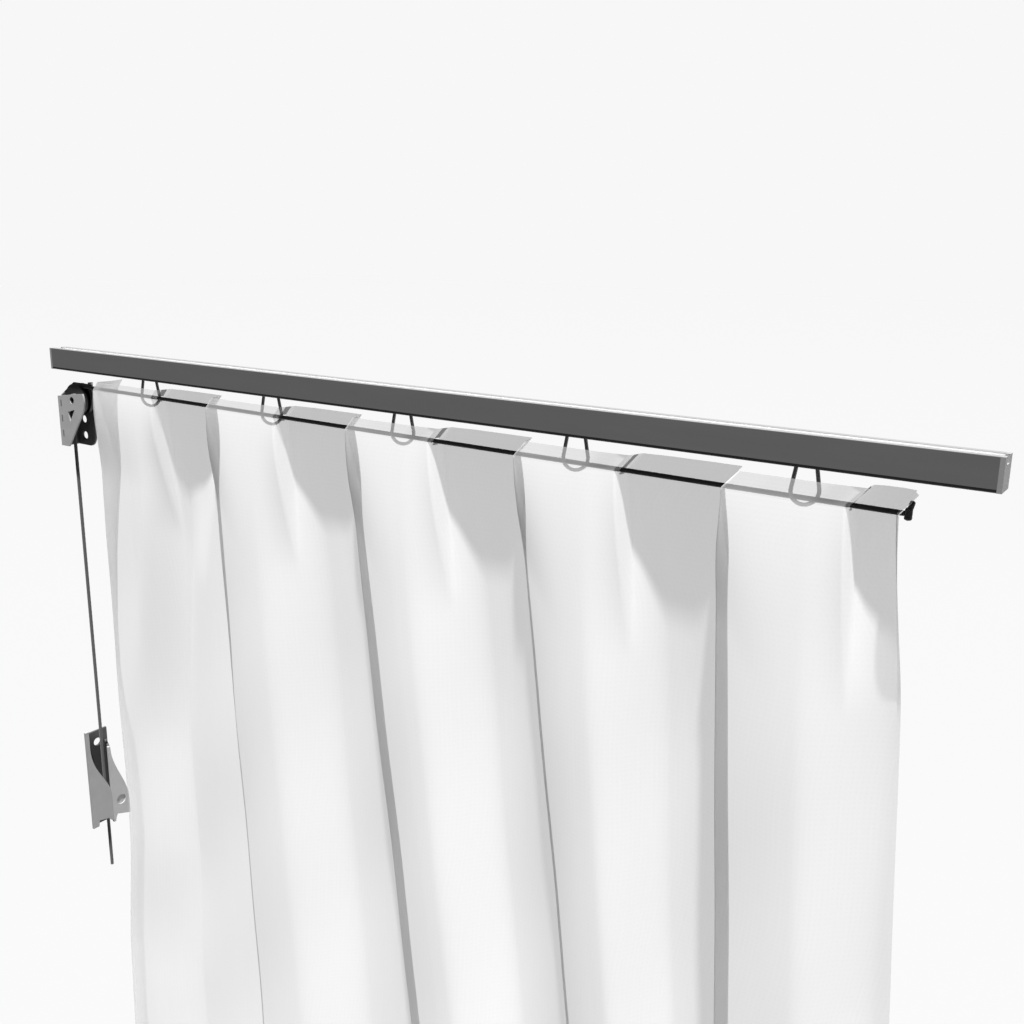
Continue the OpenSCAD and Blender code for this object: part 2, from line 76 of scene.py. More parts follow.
# Cord: the same places as in the solids
CORD_D = 4.2 * MM
SHEAVE_AT = Vector((-503, 0, -60.5)) * MM
SHEAVE_R = 16.5 * MM
RUN_START = Vector((-503, 0, -44)) * MM
RUN_END = Vector((475.45, 0, -50.2)) * MM
DROP_X = -519.5 * MM
CLEAT_LOW = -632 * MM
TAIL_LOW = -700 * MM
KNOT_AT = Vector((478.4, 0, -50.2)) * MM

# Curtain: where it crosses the cord, and its limits
CROSS_X = np.array([-460, -350, -264, -154, -60, 48, 140, 246, 336, 438, 470, 474]) * MM
CLOTH_TOP = -34 * MM
CLOTH_LOW = -1000 * MM


# Shared helpers
def smooth(t):
    """From 0 to 1 with a slow start and a slow end."""
    t = np.clip(t, 0.0, 1.0)
    return t * t * (3 - 2 * t)


def rise(t):
    """From 0 to 1 with a quick start and a slow end."""
    return np.sin(np.pi / 2 * np.clip(t, 0, 1))


def reach_along(points, axis=0):
    """How far along its line each point is, for one line of points or for the lines of a grid."""
    steps = np.linalg.norm(np.diff(points, axis=axis), axis=-1)
    return np.cumsum(np.insert(steps, 0, 0.0, axis=axis), axis=axis)


def on_line(at, reach, line):
    """The point, or points, of a line at a distance, or distances, along it."""
    return np.stack([np.interp(at, reach, line[:, k]) for k in range(3)], axis=-1)


def quad(row, column, columns):
    """The four corners of one face in a grid of points, by number."""
    corner = row * columns + column
    return (corner, corner + columns, corner + columns + 1, corner + 1)


def mesh_piece(name, points, faces):
    """A new object with smooth shading."""
    mesh = bpy.data.meshes.new(name)
    mesh.from_pydata([tuple(p) for p in points], [], [tuple(f) for f in faces])
    mesh.validate()
    piece = bpy.data.objects.new(name, mesh)
    bpy.context.scene.collection.objects.link(piece)
    mesh.polygons.foreach_set("use_smooth", [True] * len(mesh.polygons))
    return piece


def add_camera():
    turn, down, roll = CAMERA_TURN, CAMERA_DOWN, CAMERA_ROLL
    forward = Vector((-math.sin(turn) * math.cos(down), math.cos(turn) * math.cos(down), -math.sin(down)))
    right = Vector((math.cos(turn), math.sin(turn), 0))
    up = right.cross(forward)
    camera_right = math.cos(roll) * right + math.sin(roll) * up
    camera_up = math.cos(roll) * up - math.sin(roll) * right
    data = bpy.data.cameras.new("camera")
    data.lens = CAMERA_LENS
    data.sensor_width = SENSOR
    data.clip_start = CLIP_NEAR
    data.clip_end = CLIP_FAR
    camera = bpy.data.objects.new("camera", data)
    bpy.context.scene.collection.objects.link(camera)
    turn_matrix = Matrix((camera_right, camera_up, -forward)).transposed()
    camera.matrix_world = Matrix.Translation(CAMERA_AT) @ turn_matrix.to_4x4()
    bpy.context.scene.camera = camera


# Materials: the noise scales are marks per metre, each way
GRAIN = (900, 900, 900)
FLOW_MARKS = (35, 35, 35)
DRAWN_LINES = (1.5, 2600, 2600)
PATCHES = (9, 60, 60)
ORANGE_PEEL = (700, 700, 700)
MOTTLING = (60, 60, 60)
RUBBED_SPOTS = (140, 420, 140)
STEEL_LINES = (1200, 1200, 90)
STEEL_TINT = 0.02
FIBRES = (2600, 2600, 2600)
SLUBS = (900, 12, 1)

# Rail's top face and top channel, both made lighter by painted light: limits just past the channel's floor and
# its walls
TOP_SKIN = 0.4 * MM
CHANNEL_DEEP = 6.3 * MM
CHANNEL_HALF = 7.7 * MM
LIMIT_SOFT = 0.1 * MM

# Weave: the wave texture turns by so many radians in a unit of its scale
THREAD_STEP = 2 * math.pi * 0.7 * MM
WAVE_RADIANS = 20

# Places of the colour sockets in a mix node
MIX_FIRST = 6
MIX_SECOND = 7
MIX_RESULT = 2


class Shade:
    """A material with one surface shader, and short ways to add nodes to it."""

    def __init__(self, name, colour, rough, metal=0.0):
        self.material = bpy.data.materials.new(name)
        self.material.use_nodes = True
        self.tree = self.material.node_tree
        self.surface = self.tree.nodes["Principled BSDF"]
        self.surface.inputs["Base Color"].default_value = (*colour, 1)
        self.surface.inputs["Roughness"].default_value = rough
        self.surface.inputs["Metallic"].default_value = metal

    def node(self, kind, **settings):
        made = self.tree.nodes.new(kind)
        for key, value in settings.items():
            setattr(made, key, value)
        return made

    def link(self, source, target):
        self.tree.links.new(source, target)

    def maths(self, operation, *values):
        made = self.node("ShaderNodeMath", operation=operation)
        for socket, value in zip(made.inputs, values):
            self.link(value, socket)
        return made.outputs[0]

    def place(self, scale, source="Object"):
        """Coordinates in metres, stretched by scale."""
        coords = self.node("ShaderNodeTexCoord")
        mapping = self.node("ShaderNodeMapping")
        mapping.inputs["Scale"].default_value = scale
        self.link(coords.outputs[source], mapping.inputs["Vector"])
        return mapping.outputs["Vector"]

    def noise(self, scale, detail, rough=0.5, source="Object"):
        made = self.node("ShaderNodeTexNoise")
        made.inputs["Scale"].default_value = 1.0
        made.inputs["Detail"].default_value = detail
        made.inputs["Roughness"].default_value = rough
        self.link(self.place(scale, source), made.inputs["Vector"])
        return made.outputs["Fac"]

    def spread(self, value, low, high, from_low=0.3, from_high=0.7):
        made = self.node("ShaderNodeMapRange")
        made.inputs["From Min"].default_value = from_low
        made.inputs["From Max"].default_value = from_high
        made.inputs["To Min"].default_value = low
        made.inputs["To Max"].default_value = high
        self.link(value, made.inputs["Value"])
        return made.outputs["Result"]

    def limit(self, value, at, below, above):
        """One number below a limit and another above it, with a soft edge between."""
        return self.spread(value, below, above, at - LIMIT_SOFT, at + LIMIT_SOFT)

    def mix(self, share, first, second):
        made = self.node("ShaderNodeMix", data_type="RGBA")
        self.link(share, made.inputs["Factor"])
        for place, value in ((MIX_FIRST, first), (MIX_SECOND, second)):
            if isinstance(value, tuple):
                made.inputs[place].default_value = (*value, 1)
            else:
                self.link(value, made.inputs[place])
        return made.outputs[MIX_RESULT]

    def tones(self, share, level, dark, light):
        """A grey that goes from a dark share of its level to a light one."""
        return self.mix(share, grey(level * dark), grey(level * light))

    def bump(self, height, distance, strength=1.0):
        made = self.node("ShaderNodeBump")
        made.inputs["Distance"].default_value = distance
        made.inputs["Strength"].default_value = strength
        self.link(height, made.inputs["Height"])
        self.link(made.outputs["Normal"], self.surface.inputs["Normal"])

    def colour_from(self, value):
        self.link(value, self.surface.inputs["Base Color"])

    def rough_from(self, value):
        self.link(value, self.surface.inputs["Roughness"])


def grey(level, tint=0.0):
    return (level, level, level * (1 + tint))


def moulded(name, level, rough):
    """Moulded plastic: a fine grain and faint flow marks."""
    shade = Shade(name, grey(level), rough)
    flow = shade.noise(FLOW_MARKS, detail=4)
    fine = shade.noise(GRAIN, detail=2)
    shade.colour_from(shade.tones(flow, level, dark=0.88, light=1.1))
    shade.rough_from(shade.spread(fine, low=rough - 0.07, high=rough + 0.1))
    shade.bump(fine, distance=0.06 * MM)
    return shade.material


def anodised(name, level, painted_top_light_level, painted_channel_light_level):
    """Drawn aluminium section: fine lines along X, with painted light that colours the top face lighter and
    the shaded walls of the top channel near white.
    """
    shade = Shade(name, grey(level), rough=0.42, metal=0.15)
    lines = shade.noise(DRAWN_LINES, detail=3, rough=0.6)
    patches = shade.noise(PATCHES, detail=3)
    drawn = shade.tones(lines, level, dark=0.93, light=1.07)
    base = shade.mix(shade.spread(patches, low=0.0, high=0.12), drawn, grey(level * 1.5))
    place = shade.node("ShaderNodeSeparateXYZ")
    shade.link(shade.place((1, 1, 1)), place.inputs["Vector"])
    from_middle = shade.maths("ABSOLUTE", place.outputs["Y"])
    in_height = shade.limit(place.outputs["Z"], -CHANNEL_DEEP, below=0.0, above=1.0)
    in_width = shade.limit(from_middle, CHANNEL_HALF, below=1.0, above=0.0)
    # painted light: the top channel's walls, which lie in shade, take a near-white grey
    inside = shade.mix(shade.maths("MULTIPLY", in_height, in_width), base, grey(painted_channel_light_level))
    # painted light: the top face takes a lighter grey than the front
    top_light_mask = shade.limit(place.outputs["Z"], -TOP_SKIN, below=0.0, above=1.0)
    shade.colour_from(shade.mix(top_light_mask, inside, grey(painted_top_light_level)))
    shade.rough_from(shade.spread(lines, low=0.36, high=0.5))
    shade.bump(lines, distance=0.03 * MM)
    return shade.material


def painted(name, level, rough=0.45):
    """Painted sheet metal: orange peel, faint mottling and a few rubbed spots."""
    shade = Shade(name, grey(level), rough)
    peel = shade.noise(ORANGE_PEEL, detail=2)
    mottle = shade.noise(MOTTLING, detail=4)
    rubbed = shade.noise(RUBBED_SPOTS, detail=6, rough=0.7)
    base = shade.tones(mottle, level, dark=0.9, light=1.1)
    bare = shade.spread(rubbed, low=0.0, high=0.5, from_low=0.66, from_high=0.8)
    shade.colour_from(shade.mix(bare, base, grey(min(1, level * 1.7))))
    shade.rough_from(shade.spread(peel, low=rough - 0.08, high=rough + 0.1))
    shade.bump(peel, distance=0.08 * MM)
    return shade.material


def steel(name, level, rough):
    """Drawn or turned steel with fine lines."""
    shade = Shade(name, grey(level, STEEL_TINT), rough, metal=0.85)
    fine = shade.noise(STEEL_LINES, detail=3, rough=0.6)
    shade.colour_from(shade.mix(fine, grey(level * 0.85), grey(level * 1.12, STEEL_TINT)))
    shade.rough_from(shade.spread(fine, low=rough - 0.08, high=rough + 0.1))
    shade.bump(fine, distance=0.03 * MM)
    return shade.material


def braid(name, level):
    """Cord yarn: fine fibres over the braid's own relief."""
    shade = Shade(name, grey(level), rough=0.8)
    fibre = shade.noise(FIBRES, detail=3, rough=0.6)
    shade.colour_from(shade.tones(fibre, level, dark=0.6, light=1.6))
    shade.surface.inputs["Sheen Weight"].default_value = 0.25
    shade.bump(fibre, distance=0.12 * MM)
    return shade.material


def thread_wave(shade, direction):
    """Threads that follow each other in one direction of the flat cloth."""
    wave = shade.node("ShaderNodeTexWave", wave_type="BANDS", bands_direction=direction)
    wave.inputs["Scale"].default_value = 2 * math.pi / THREAD_STEP / WAVE_RADIANS
    wave.inputs["Distortion"].default_value = 0.6
    wave.inputs["Detail"].default_value = 1
    shade.link(shade.node("ShaderNodeTexCoord").outputs["UV"], wave.inputs["Vector"])
    return wave.outputs["Fac"]


def sheer(name, alpha, level, density=None):
    """Thin plain weave with slubs. It is see-through, evenly or by a density that the mesh holds."""
    shade = Shade(name, grey(level), rough=0.9)
    weave = shade.maths("MAXIMUM", thread_wave(shade, "X"), thread_wave(shade, "Y"))
    slub = shade.noise(SLUBS, detail=2, source="UV")
    threads = shade.tones(weave, level, dark=0.99, light=1.02)
    shade.colour_from(shade.mix(shade.spread(slub, low=0.0, high=0.5), threads, grey(level * 0.97)))
    shade.bump(weave, distance=0.05 * MM, strength=0.4)
    shade.surface.inputs["Alpha"].default_value = alpha
    if density:
        held = shade.node("ShaderNodeAttribute", attribute_name=density)
        shade.link(held.outputs["Fac"], shade.surface.inputs["Alpha"])
    shade.surface.inputs["Sheen Weight"].default_value = 0.1
    shade.surface.inputs["Specular IOR Level"].default_value = 0.2
    return shade.material


def plain(name, level):
    """A dull, even surface."""
    return Shade(name, grey(level), rough=0.9).material


# Stage
def add_floor():
    half = FLOOR_HALF
    front = FLOOR_FRONT
    outline = ((-half, front), (half, front), (half, half), (-half, half))
    floor = mesh_piece("floor", [(x, y, FLOOR_Z) for x, y in outline], [(0, 1, 2, 3)])
    floor.data.materials.append(plain("floor_pale", FLOOR_GREY))


def add_sun():
    sun = bpy.data.lights.new("sun", "SUN")
    sun.energy = SUN_POWER
    sun.angle = SUN_SOFT
    lamp = bpy.data.objects.new("sun", sun)
    lamp.rotation_mode = "QUATERNION"
    lamp.rotation_quaternion = SUN_FROM.to_track_quat("Z", "Y")
    bpy.context.scene.collection.objects.link(lamp)


def add_sky():
    """An even white sky, brighter as a background than as a light."""
    world = bpy.data.worlds.new("studio")
    world.use_nodes = True
    bpy.context.scene.world = world
    tree = world.node_tree
    background = tree.nodes["Background"]
    path = tree.nodes.new("ShaderNodeLightPath")
    level = tree.nodes.new("ShaderNodeMapRange")
    level.inputs["To Min"].default_value = SKY_LIGHT
    level.inputs["To Max"].default_value = SKY_SEEN
    tree.links.new(path.outputs["Is Camera Ray"], level.inputs["Value"])
    tree.links.new(level.outputs["Result"], background.inputs["Strength"])
    background.inputs["Color"].default_value = (1, 1, 1, 1)


def add_stage():
    add_floor()
    add_sun()
    add_sky()
    bpy.context.scene.view_settings.view_transform = "Standard"


# Cord
# The run and the knot take a darker grey than the drop and the tail: painted shade, standing in for the shade
# under the rail
SHADED_CORD_GREY = 0.03
PLAIN_CORD_GREY = 0.085
BRAID_STRANDS = 4
BRAID_PITCH = 26 * MM
BRAID_RELIEF = 0.16 * MM
CORD_SIDES = 16
CORD_STEP = 0.8 * MM
ROUND_STEP = 0.3 * MM
ROUNDING = 0.6
SHEAVE_POINTS = 25
KNOT_D = 5.8 * MM
KNOT_H = 9.6 * MM
KNOT_END = 9.9 * MM
KNOT_END_TURN = math.radians(20)
KNOT_END_TILT = math.radians(14)
CORD_SIDE = (0, 1, 0)


def even_steps(points, step):
    """Points at even steps on a line of points, and how far along each is."""
    points = np.array([tuple(p) for p in points], float)
    reach = reach_along(points)
    count = max(2, int(round(reach[-1] / step)) + 1)
    places = np.linspace(0, reach[-1], count)
    return on_line(places, reach, points), places


def braid_radius(places, angle, diameter):
    """The tube's radius at each place along it and each angle round it."""
    turn = 2 * math.pi * places / BRAID_PITCH * BRAID_STRANDS
    first = np.cos(BRAID_STRANDS * angle[None, :] + turn[:, None])
    second = np.cos(BRAID_STRANDS * angle[None, :] - turn[:, None])
    return diameter / 2 - BRAID_RELIEF + BRAID_RELIEF * np.maximum(first, second)


def tube_faces(rings):
    """Faces of a closed tube, with its two flat ends."""
    faces = []
    for k in range(rings - 1):
        for j in range(CORD_SIDES):
            after = (j + 1) % CORD_SIDES
            faces.append((k * CORD_SIDES + j, k * CORD_SIDES + after,
                          (k + 1) * CORD_SIDES + after, (k + 1) * CORD_SIDES + j))
    last = (rings - 1) * CORD_SIDES
    faces.append(tuple(range(CORD_SIDES - 1, -1, -1)))
    faces.append(tuple(last + j for j in range(CORD_SIDES)))
    return faces


def braided_cord(name, points, side, diameter=CORD_D, round_start=False, round_end=False):
    """A closed tube with the relief of a braid, along points that lie in the plane square to side."""
    path, places = even_steps(points, ROUND_STEP if round_end else CORD_STEP)
    tangent = np.gradient(path, axis=0)
    tangent /= np.linalg.norm(tangent, axis=1)[:, None]
    side = np.array(side, float)
    other = np.cross(tangent, side)
    angle = np.arange(CORD_SIDES) * 2 * math.pi / CORD_SIDES
    radius = braid_radius(places, angle, diameter)
    for rounded, gone in ((round_start, places), (round_end, places[-1] - places)):
        if rounded:
            left = np.clip(gone / (ROUNDING * diameter / 2), 0, 1)
            radius = radius * (1 - ROUNDING + ROUNDING * np.sqrt(1 - (1 - left) ** 2))[:, None]
    ring = np.cos(angle)[None, :, None] * side + np.sin(angle)[None, :, None] * other[:, None, :]
    verts = (path[:, None, :] + radius[:, :, None] * ring).reshape(-1, 3)
    return mesh_piece(name, verts, tube_faces(len(path)))


def add_draw_cord(yarn, plain_yarn):
    """The cord from the knot over the sheave and down to its bare end, in three stretches."""
    run = braided_cord("draw_cord_run", [RUN_START, RUN_END], CORD_SIDE)
    turn = [SHEAVE_AT + SHEAVE_R * Vector((math.cos(a), 0, math.sin(a)))
            for a in np.linspace(math.pi / 2, math.pi, SHEAVE_POINTS)]
    drop_path = turn + [Vector((DROP_X, 0, CLEAT_LOW))]
    drop = braided_cord("draw_cord_drop", drop_path, CORD_SIDE)
    tail_path = [Vector((DROP_X, 0, CLEAT_LOW)), Vector((DROP_X, 0, TAIL_LOW))]
    tail = braided_cord("draw_cord_tail", tail_path, CORD_SIDE)
    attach(run, "track")
    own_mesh(run)
    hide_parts("cord_run")
    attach(drop, "track")
    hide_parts("cord_drop")
    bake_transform(tail)
    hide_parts("cord_tail")
    for piece, material in ((run, yarn), (drop, plain_yarn), (tail, plain_yarn)):
        piece.data.materials.append(material)


def add_end_knot(yarn):
    """The wrap of the knot at the cloth's right edge, and the short slanted cord end above it."""
    half_up = Vector((0, 0, KNOT_H / 2))
    wrap_path = [KNOT_AT - half_up, KNOT_AT + half_up]
    knot = braided_cord("end_knot_wrap", wrap_path, CORD_SIDE, KNOT_D, round_start=True, round_end=True)
    slant = Matrix.Rotation(KNOT_END_TURN, 3, "Z") @ Matrix.Rotation(KNOT_END_TILT, 3, "Y")
    end_path = [KNOT_AT, KNOT_AT + slant @ Vector((0, 0, KNOT_END))]
    stub = braided_cord("end_knot_end", end_path, slant @ Vector(CORD_SIDE), round_end=True)
    for piece in (knot, stub):
        piece.data.materials.append(yarn)
        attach(piece, "knot")
    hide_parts("end_knot")


def add_cords():
    # painted shade: the run and the knot get the darker yarn
    yarn = braid("cord_yarn", SHADED_CORD_GREY)
    plain_yarn = braid("cord_yarn_plain", PLAIN_CORD_GREY)
    add_draw_cord(yarn, plain_yarn)
    add_end_knot(yarn)


# Panels of the curtain: even ones pass before the cord and odd ones behind it
SECOND_PANEL = 1
LAST_BACK = 9
CREASES = CROSS_X[0:LAST_BACK:2]
LAST_PAIR = len(CREASES) - 1
PERIOD = 196 * MM

# Columns and rows of the curtain's mesh
PANEL_COLUMNS = 48
NARROW_PANEL = 40 * MM
NARROW_COLUMNS = 12
EVEN_SHARE = 0.3
HEADING_ROWS = 10
HEADING = 12 * MM
UPPER_ROWS = 31
UPPER_DEEP = 60 * MM
LOWER_ROWS = 90
LOWER_GROWTH = 1.25

# Fold at the cord
FOLD_TOP = 10 * MM
SHARP = 0.03
BULGE = 0.3
NECK_CREASE = 0.95
NECK_FRONT = 0.8
NECK_BACK = 0.75
LOOP_NEAR = (0, 2)

# Fold below the cord, by pairs: phases of its front and back, levels of its edges, at the top and low down
FOLD_LOW = 24 * MM
FRONT_TOP = (0.8, 0.7, 0.7, 0.7, 0.7)
FRONT_LOW = (0.3, 0.7, 0.7, 0.7, 0.7)
FULL_TOP = (1.2, 1.4, 1.4, 1.4, 1.4)
BACK_TOP = (1.3, 1.6, 1.6, 1.6, 1.6)
BACK_LOW = (0.94, 1.3, 1.3, 1.3, 1.3)
EDGE_FRONT = (0.6, 0.15, 0.28, 0.12, 0.45)
EDGE_BACK_TOP = (0.12, 0.22, 0.1, 0.35, 1)
EDGE_BACK_LOW = (-0.15, 0.22, 0.1, 0.5, 1)
SHIFT_FROM = 90 * MM
SHIFT_BY = 360 * MM
QUICK = 3.0

# Depths by which the fold settles and swells, and each panel's own swell
SETTLE_TUCK = 165 * MM
SETTLE_SECOND = 220 * MM
SETTLE_SECOND_SHARE = 1 / 3
SETTLE_CREASE = 105 * MM
SWELL_BY = 110 * MM
PANEL_DEPTH = (0.55, 1.1, 1.0, 0.9, 1.05, 1.0, 0.95, 1.05, 1.0, 0.9, 0.9)

# Ripple and sway along Y
RIPPLE = 1.2 * MM
RIPPLE_FROM = 60 * MM
RIPPLE_BY = 200 * MM
RIPPLE_ACROSS = (31, 5)
RIPPLE_DOWN = (9, 17)
SWAY = 4.5 * MM
SWAY_FROM = 60 * MM
SWAY_LENGTH = 1100 * MM

# Moves along X: the heading's lean, drift for each metre down, overhang at creases, the first fold's flare
HEAD_LEAN = 0.9
HEAD_LEAN_END = 0.75
DRIFT_X = np.array([-470, -264, -60, 140, 336, 474]) * MM
DRIFT = (-0.015, 0.045, 0.112, 0.121, 0.058, 0.06)
OVERHANG = 5 * MM
OVERHANG_BY = 65 * MM
FLARE = 18 * MM
FLARE_FROM = 580 * MM
FLARE_BY = 200 * MM

# Strip that turns back at the left edge: its width at some depths
RETURN_COLUMNS = 12
RETURN_BOW = 3 * MM
RETURN_AT = np.array([0, 100, 200, 290, 355, 400, 470, 600, 960]) * MM
RETURN_DEEP = np.array([35, 27, 14, 6, 5.5, 9, 18, 22, 20]) * MM

# Buttonholes, and how dense and pale the cloth is
HOLE_HALF_DEEP = 2.2 * MM
HOLE_HALF_HIGH = 2.4 * MM
CLOTH_GREY = 0.79
DENSE = 0.48
RETURN_DENSE = 0.72
EDGE_DENSE = 0.28
EDGE_SHARE = 0.3
EDGE_FROM = 300 * MM
EDGE_BY = 150 * MM

# Faces in the tucks at the cord and along the creases: denser cloth with painted shade, darker greys for the
# shade there
PLAIN, TUCKED, CREASED = range(3)
TUCK_FRONT = 0.016
TUCK_BACK = 0.012
TUCK_DEEP = 7 * MM
TUCK_SHADE_GREY = 0.25
CREASE_SHADE_GREY = 0.4
DARK_DENSE = 0.85

# Hem and its stitches
HEM_CLOTH, HEM_THREAD = range(2)
HEM = 40 * MM
HEM_GAP = 0.7 * MM
STITCH_STEP = 7 * MM
STITCH_LENGTH = 4.5 * MM
STITCH_WIDE = 0.6 * MM
STITCH_LIFT = (0.2, 1.0)
STITCH_DOWN = 0.15
THREAD_GREY = 0.7
BOX_SIDES = ((0, 1, 3, 2), (4, 6, 7, 5), (0, 4, 5, 1), (2, 3, 7, 6), (0, 2, 6, 4), (1, 5, 7, 3))


def cord_z(x):
    """The height of the cord's run at a place along X."""
    return RUN_START.z + (RUN_END.z - RUN_START.z) * (x - RUN_START.x) / (RUN_END.x - RUN_START.x)


def cloth_columns():
    """Each column's place along the heading, its panel and its share of the panel.

    A front panel starts at a crease and ends at a tuck. It makes a pair with the back panel after it.
    """
    xs, panels, shares = [], [], []
    for p in range(len(CROSS_X) - 1):
        width = CROSS_X[p + 1] - CROSS_X[p]
        count = PANEL_COLUMNS if width > NARROW_PANEL else NARROW_COLUMNS
        even = np.linspace(0, 1, count, endpoint=False)
        share = EVEN_SHARE * even + (1 - EVEN_SHARE) * smooth(even)
        xs.append(CROSS_X[p] + width * share)
        panels.append(np.full(count, p))
        shares.append(share)
    xs.append([CROSS_X[-1]])
    panels.append([len(CROSS_X) - 2])
    shares.append([1.0])
    return np.concatenate(xs), np.concatenate(panels).astype(int), np.concatenate(shares)


def cloth_rows():
    """The heading's rows, as shares from -1 at the top to 0 at the cord, and the depths of those below."""
    heading = np.linspace(-1, 0, HEADING_ROWS)
    upper = np.linspace(0, UPPER_DEEP, UPPER_ROWS)[1:]
    lower = UPPER_DEEP + (CLOTH_TOP - CLOTH_LOW) * np.linspace(0, 1, LOWER_ROWS)[1:] ** LOWER_GROWTH
    return heading, np.concatenate([upper, lower])


def cloth_depths(x, heading, below):
    """Each point's depth below the cord, negative in the heading, with the rows spread from edge to edge."""
    top = CLOTH_TOP - cord_z(x)
    low = cord_z(x) - CLOTH_LOW
    return np.concatenate([heading[:, None] * top[None, :], below[:, None] / below[-1] * low[None, :]])


def neck(t, level):
    """From the cord to the fold's full depth: at once to a level just past the cord, then slowly."""
    return level * rise(t / SHARP) + (1 - level) * smooth((t - SHARP / 2) / BULGE)


def pinned(panel, share):
    """Fold at the cord: panels before and behind it, with quick flanks where the cord goes through."""
    front_left = np.where(panel == 0, 1.0, neck(share, NECK_CREASE))
    front_right = neck(1 - share, np.where(np.isin(panel, LOOP_NEAR), 1.0, NECK_FRONT))
    back = neck(share, NECK_BACK) * neck(1 - share, np.where(panel == LAST_BACK, NECK_BACK, NECK_CREASE))
    fold = np.where(panel % 2 == 0, -front_left * front_right, back)
    return np.where(panel > LAST_BACK, -NECK_BACK * share, fold)


def swept(x, panel, share, depth):
    """Fold below the cord: it sweeps slowly from front to back and turns sharply at each crease."""
    pair = np.minimum(panel // 2, LAST_PAIR)
    periods = np.append(np.diff(CREASES), PERIOD)
    phase = 2 * (x - CREASES[pair]) / periods[pair]
    shifted = smooth((depth - SHIFT_FROM) / SHIFT_BY)

    def between(top, low, which):
        top, low = np.array(top)[which], np.array(low)[which]
        return top + (low - top) * shifted

    front_at = between(FRONT_TOP, FRONT_LOW, pair)
    full_at = between(FULL_TOP, BACK_LOW, pair)
    back_at = between(BACK_TOP, BACK_LOW, pair)
    edge_front = -np.array(EDGE_FRONT)
    edge_back = between(EDGE_BACK_TOP, EDGE_BACK_LOW, pair)
    before = np.clip(1 - phase / front_at, 0, 1)
    after = np.clip((phase - back_at) / (2 - back_at), 0, 1)
    fall = np.where(pair == 0, 1 - (1 - after) ** QUICK, after ** 2)
    sweep = np.cos(np.pi * np.clip((phase - front_at) / (full_at - front_at), 0, 1))
    fold = (1 + edge_front[pair]) * before ** 2 - (1 - edge_back) * fall - sweep
    # the two sides of a crease meet half way between their edges
    front = panel % 2 == 0
    edge_left = between(EDGE_BACK_TOP, EDGE_BACK_LOW, np.maximum(pair - 1, 0))
    edge_right = edge_front[np.minimum(pair + 1, LAST_PAIR)]
    meet = np.where(front, edge_left + edge_front[pair], edge_back + edge_right) / 2
    flank = rise(np.where(front, share, 1 - share) / SHARP)
    flank = np.where((panel == 0) | (panel >= LAST_BACK), 1, flank)
    return meet + (fold - meet) * flank


def cloth_x(x, panel, share, depth):
    """The cloth's place along X at a column and a depth below the cord, for arrays of both."""
    front = panel % 2 == 0
    lean = np.where(x < CROSS_X[LAST_BACK], HEAD_LEAN, HEAD_LEAN_END)
    slant = np.where(depth > 0, depth * np.interp(x, DRIFT_X, DRIFT), -lean * depth)
    crease = np.minimum((panel + 1) // 2, LAST_PAIR)
    creased = np.array(EDGE_FRONT)[crease] / EDGE_FRONT[0]
    over = OVERHANG * smooth(depth / OVERHANG_BY) * creased
    over = np.where(panel >= LAST_BACK, 0, over)
    to_left = np.where(front & (panel > 0), smooth(1 - 2 * share) * rise(share / SHARP), 0)
    to_right = np.where(front, 0, smooth(2 * share - 1) * rise((1 - share) / SHARP))
    flare = FLARE * smooth((depth - FLARE_FROM) / FLARE_BY) * (1 - smooth((x - CROSS_X[0]) / PERIOD))
    return x + slant + over * (to_right - to_left) - flare


def cloth_y(x, panel, share, depth):
    """The cloth's place along Y, negative before the cord, for the same arrays."""
    front = panel % 2 == 0
    near_crease = smooth(2 * np.where(front, 1 - share, share) - 1)
    lower = (SETTLE_SECOND - SETTLE_TUCK) * smooth(share / SETTLE_SECOND_SHARE)
    by_tuck = SETTLE_TUCK + np.where(panel == SECOND_PANEL, lower, 0)
    settled = smooth(depth / (by_tuck + (SETTLE_CREASE - by_tuck) * near_crease))
    fold = pinned(panel, share) * (1 - settled) + swept(x, panel, share, depth) * settled
    size = FOLD_TOP + (FOLD_LOW - FOLD_TOP) * (1 - np.exp(-np.clip(depth, 0, None) / SWELL_BY))
    middles = (CROSS_X[:-1] + CROSS_X[1:]) / 2
    swell = 1 + (np.interp(x, middles, PANEL_DEPTH) - 1) * smooth(depth / SWELL_BY)
    waves = [np.sin(across * x + down * depth) for across, down in zip(RIPPLE_ACROSS, RIPPLE_DOWN)]
    ripple = RIPPLE * smooth((depth - RIPPLE_FROM) / RIPPLE_BY) * waves[0] * waves[1]
    sway = SWAY * (1 - np.cos(2 * np.pi * np.clip((depth - SWAY_FROM) / SWAY_LENGTH, 0, 1))) / 2
    return size * swell * fold + ripple + sway


def return_strip(edge, depths):
    """The strip behind the cloth's left edge, from its free side to the edge."""
    turn = np.linspace(1, 0, RETURN_COLUMNS, endpoint=False)
    strip = np.repeat(edge, RETURN_COLUMNS, axis=1)
    strip[:, :, 1] += np.interp(depths, RETURN_AT, RETURN_DEEP) * turn[None, :]
    strip[:, :, 0] += RETURN_BOW * np.sin(np.pi * turn)[None, :]
    return strip


def cloth_points(x, panel, share, depths):
    """Points of the whole cloth, in rows from the top and columns from the strip's free side."""
    grid = (x[None, :], panel[None, :], share[None, :], depths)
    sheet = np.stack([cloth_x(*grid), cloth_y(*grid), cord_z(x)[None, :] - depths], axis=-1)
    return np.concatenate([return_strip(sheet[:, :1], depths[:, :1]), sheet], axis=1)


